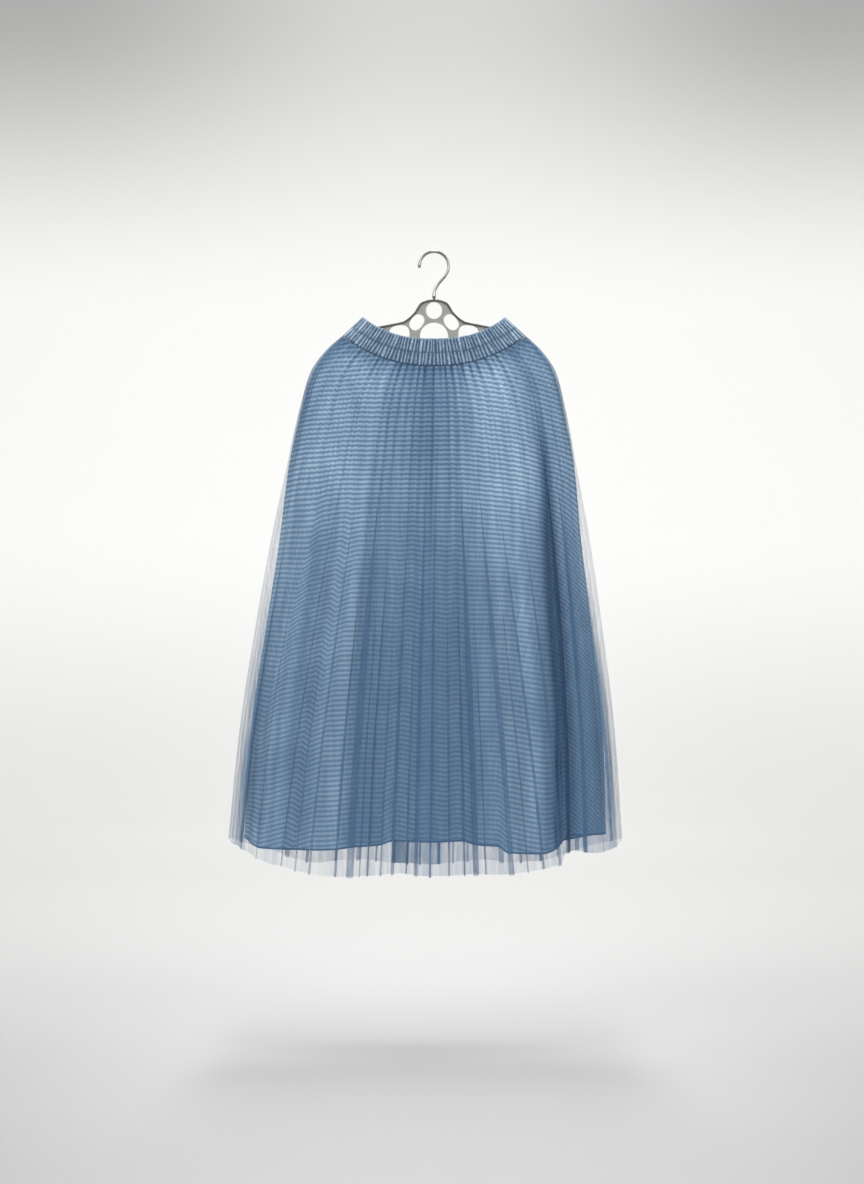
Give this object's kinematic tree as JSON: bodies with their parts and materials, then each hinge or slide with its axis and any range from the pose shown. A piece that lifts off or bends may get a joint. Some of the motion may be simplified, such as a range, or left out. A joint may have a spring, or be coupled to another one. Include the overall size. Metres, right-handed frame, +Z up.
{
  "type": "gathered net skirt on a hanger",
  "caption": "Mid-calf gathered net skirt over a striped lining, ruched elastic waistband, hanging empty from a pierced hanger with a wire hook.",
  "frame": {"origin": "underside of the hook's crown, where the hanger rests on what holds it", "axes": "+Z up, the skirt's front faces -Y, +X to the viewer's right"},
  "size_m": [0.63, 0.2573, 0.9919],
  "materials": {
    "waistband_cloth": "ruched woven stripe",
    "striped_lining": "smooth woven stripe, matt",
    "net": "fine soft net, see-through",
    "hook_wire": "satin round wire",
    "hanger_metal": "satin grey"
  },
  "bodies": {
    "root": {"waistband": "waistband_cloth", "lining_front": "striped_lining", "lining_back": "striped_lining", "net_front": "net", "net_back": "net", "hanger_hook": "hook_wire", "hanger_collar": "hook_wire", "hanger_body": "hanger_metal"}
  },
  "joints": []
}
